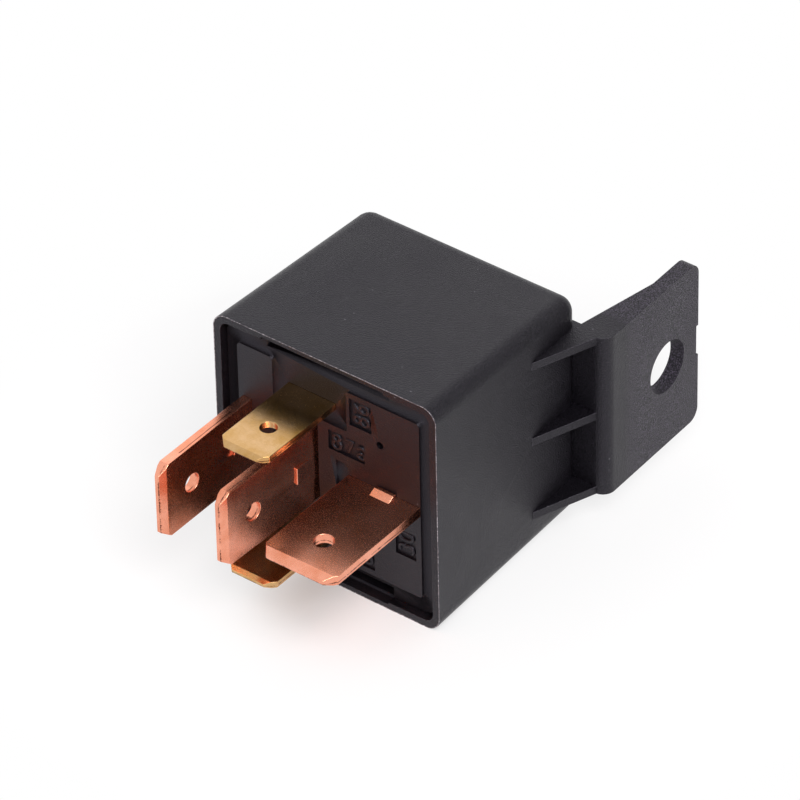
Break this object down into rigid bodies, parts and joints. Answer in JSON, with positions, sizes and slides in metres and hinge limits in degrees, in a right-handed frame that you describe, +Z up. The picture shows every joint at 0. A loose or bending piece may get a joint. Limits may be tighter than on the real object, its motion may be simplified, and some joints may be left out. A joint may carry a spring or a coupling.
{
  "type": "automotive relay",
  "caption": "Square plastic-cased plug-in changeover relay with flat copper and brass blades, a moulded side bracket with a round fixing hole, and a coil, yoke and sprung armature inside.",
  "frame": {"origin": "middle of the object's box on the surface it lies on", "axes": "+Y from the blades' tips to the bracket's tip, +Z up from the flat side it lies on, +X towards the bracket side"},
  "size_m": [0.0332, 0.0566, 0.0295],
  "materials": {
    "black_moulding": "fine spark-eroded texture, glass-filled nylon",
    "base_moulding": "smoother moulded face, glass-filled polyester",
    "copper": "rolled and blanked copper, lightly tarnished",
    "brass": "rolled and blanked brass",
    "silver_alloy": "headed contact rivets",
    "soft_iron": "zinc-plated soft iron",
    "rivet_metal": "plain rivets",
    "bobbin_nylon": "natural nylon",
    "enamelled_wire": "enamelled copper wire",
    "resistor_lacquer": "lacquered ceramic",
    "tinned_wire": "tinned copper wire",
    "spring_copper": "rolled beryllium copper strip",
    "spring_steel": "drawn spring wire"
  },
  "bodies": {
    "housing": {"cover": "black_moulding", "base": "base_moulding", "terminal_30": "copper", "terminal_87": "copper", "terminal_87a": "copper", "terminal_86": "brass", "terminal_85": "brass", "contact_normally_open": "silver_alloy", "contact_normally_closed": "silver_alloy", "yoke": "soft_iron", "common_rivets": "rivet_metal", "core": "soft_iron", "bobbin": "bobbin_nylon", "coil_winding": "enamelled_wire", "coil_leads": "enamelled_wire", "resistor_body": "resistor_lacquer", "resistor_leads": "tinned_wire", "return_spring": "spring_steel"},
    "armature_group": {"armature": "soft_iron", "contact_leaf": "spring_copper", "moving_contact": "silver_alloy", "armature_rivets": "rivet_metal"}
  },
  "joints": [
    {"name": "armature_hinge", "type": "hinge", "parent": "housing", "child": "armature_group", "pos_m": [0.00955, 0.0052, 0.01475], "axis": [0, 0, 1], "range_deg": [0, 2.33], "stiffness_Nm_per_rad": 0.05, "springref_deg": -17.19, "deforming": ["return_spring"]}
  ]
}
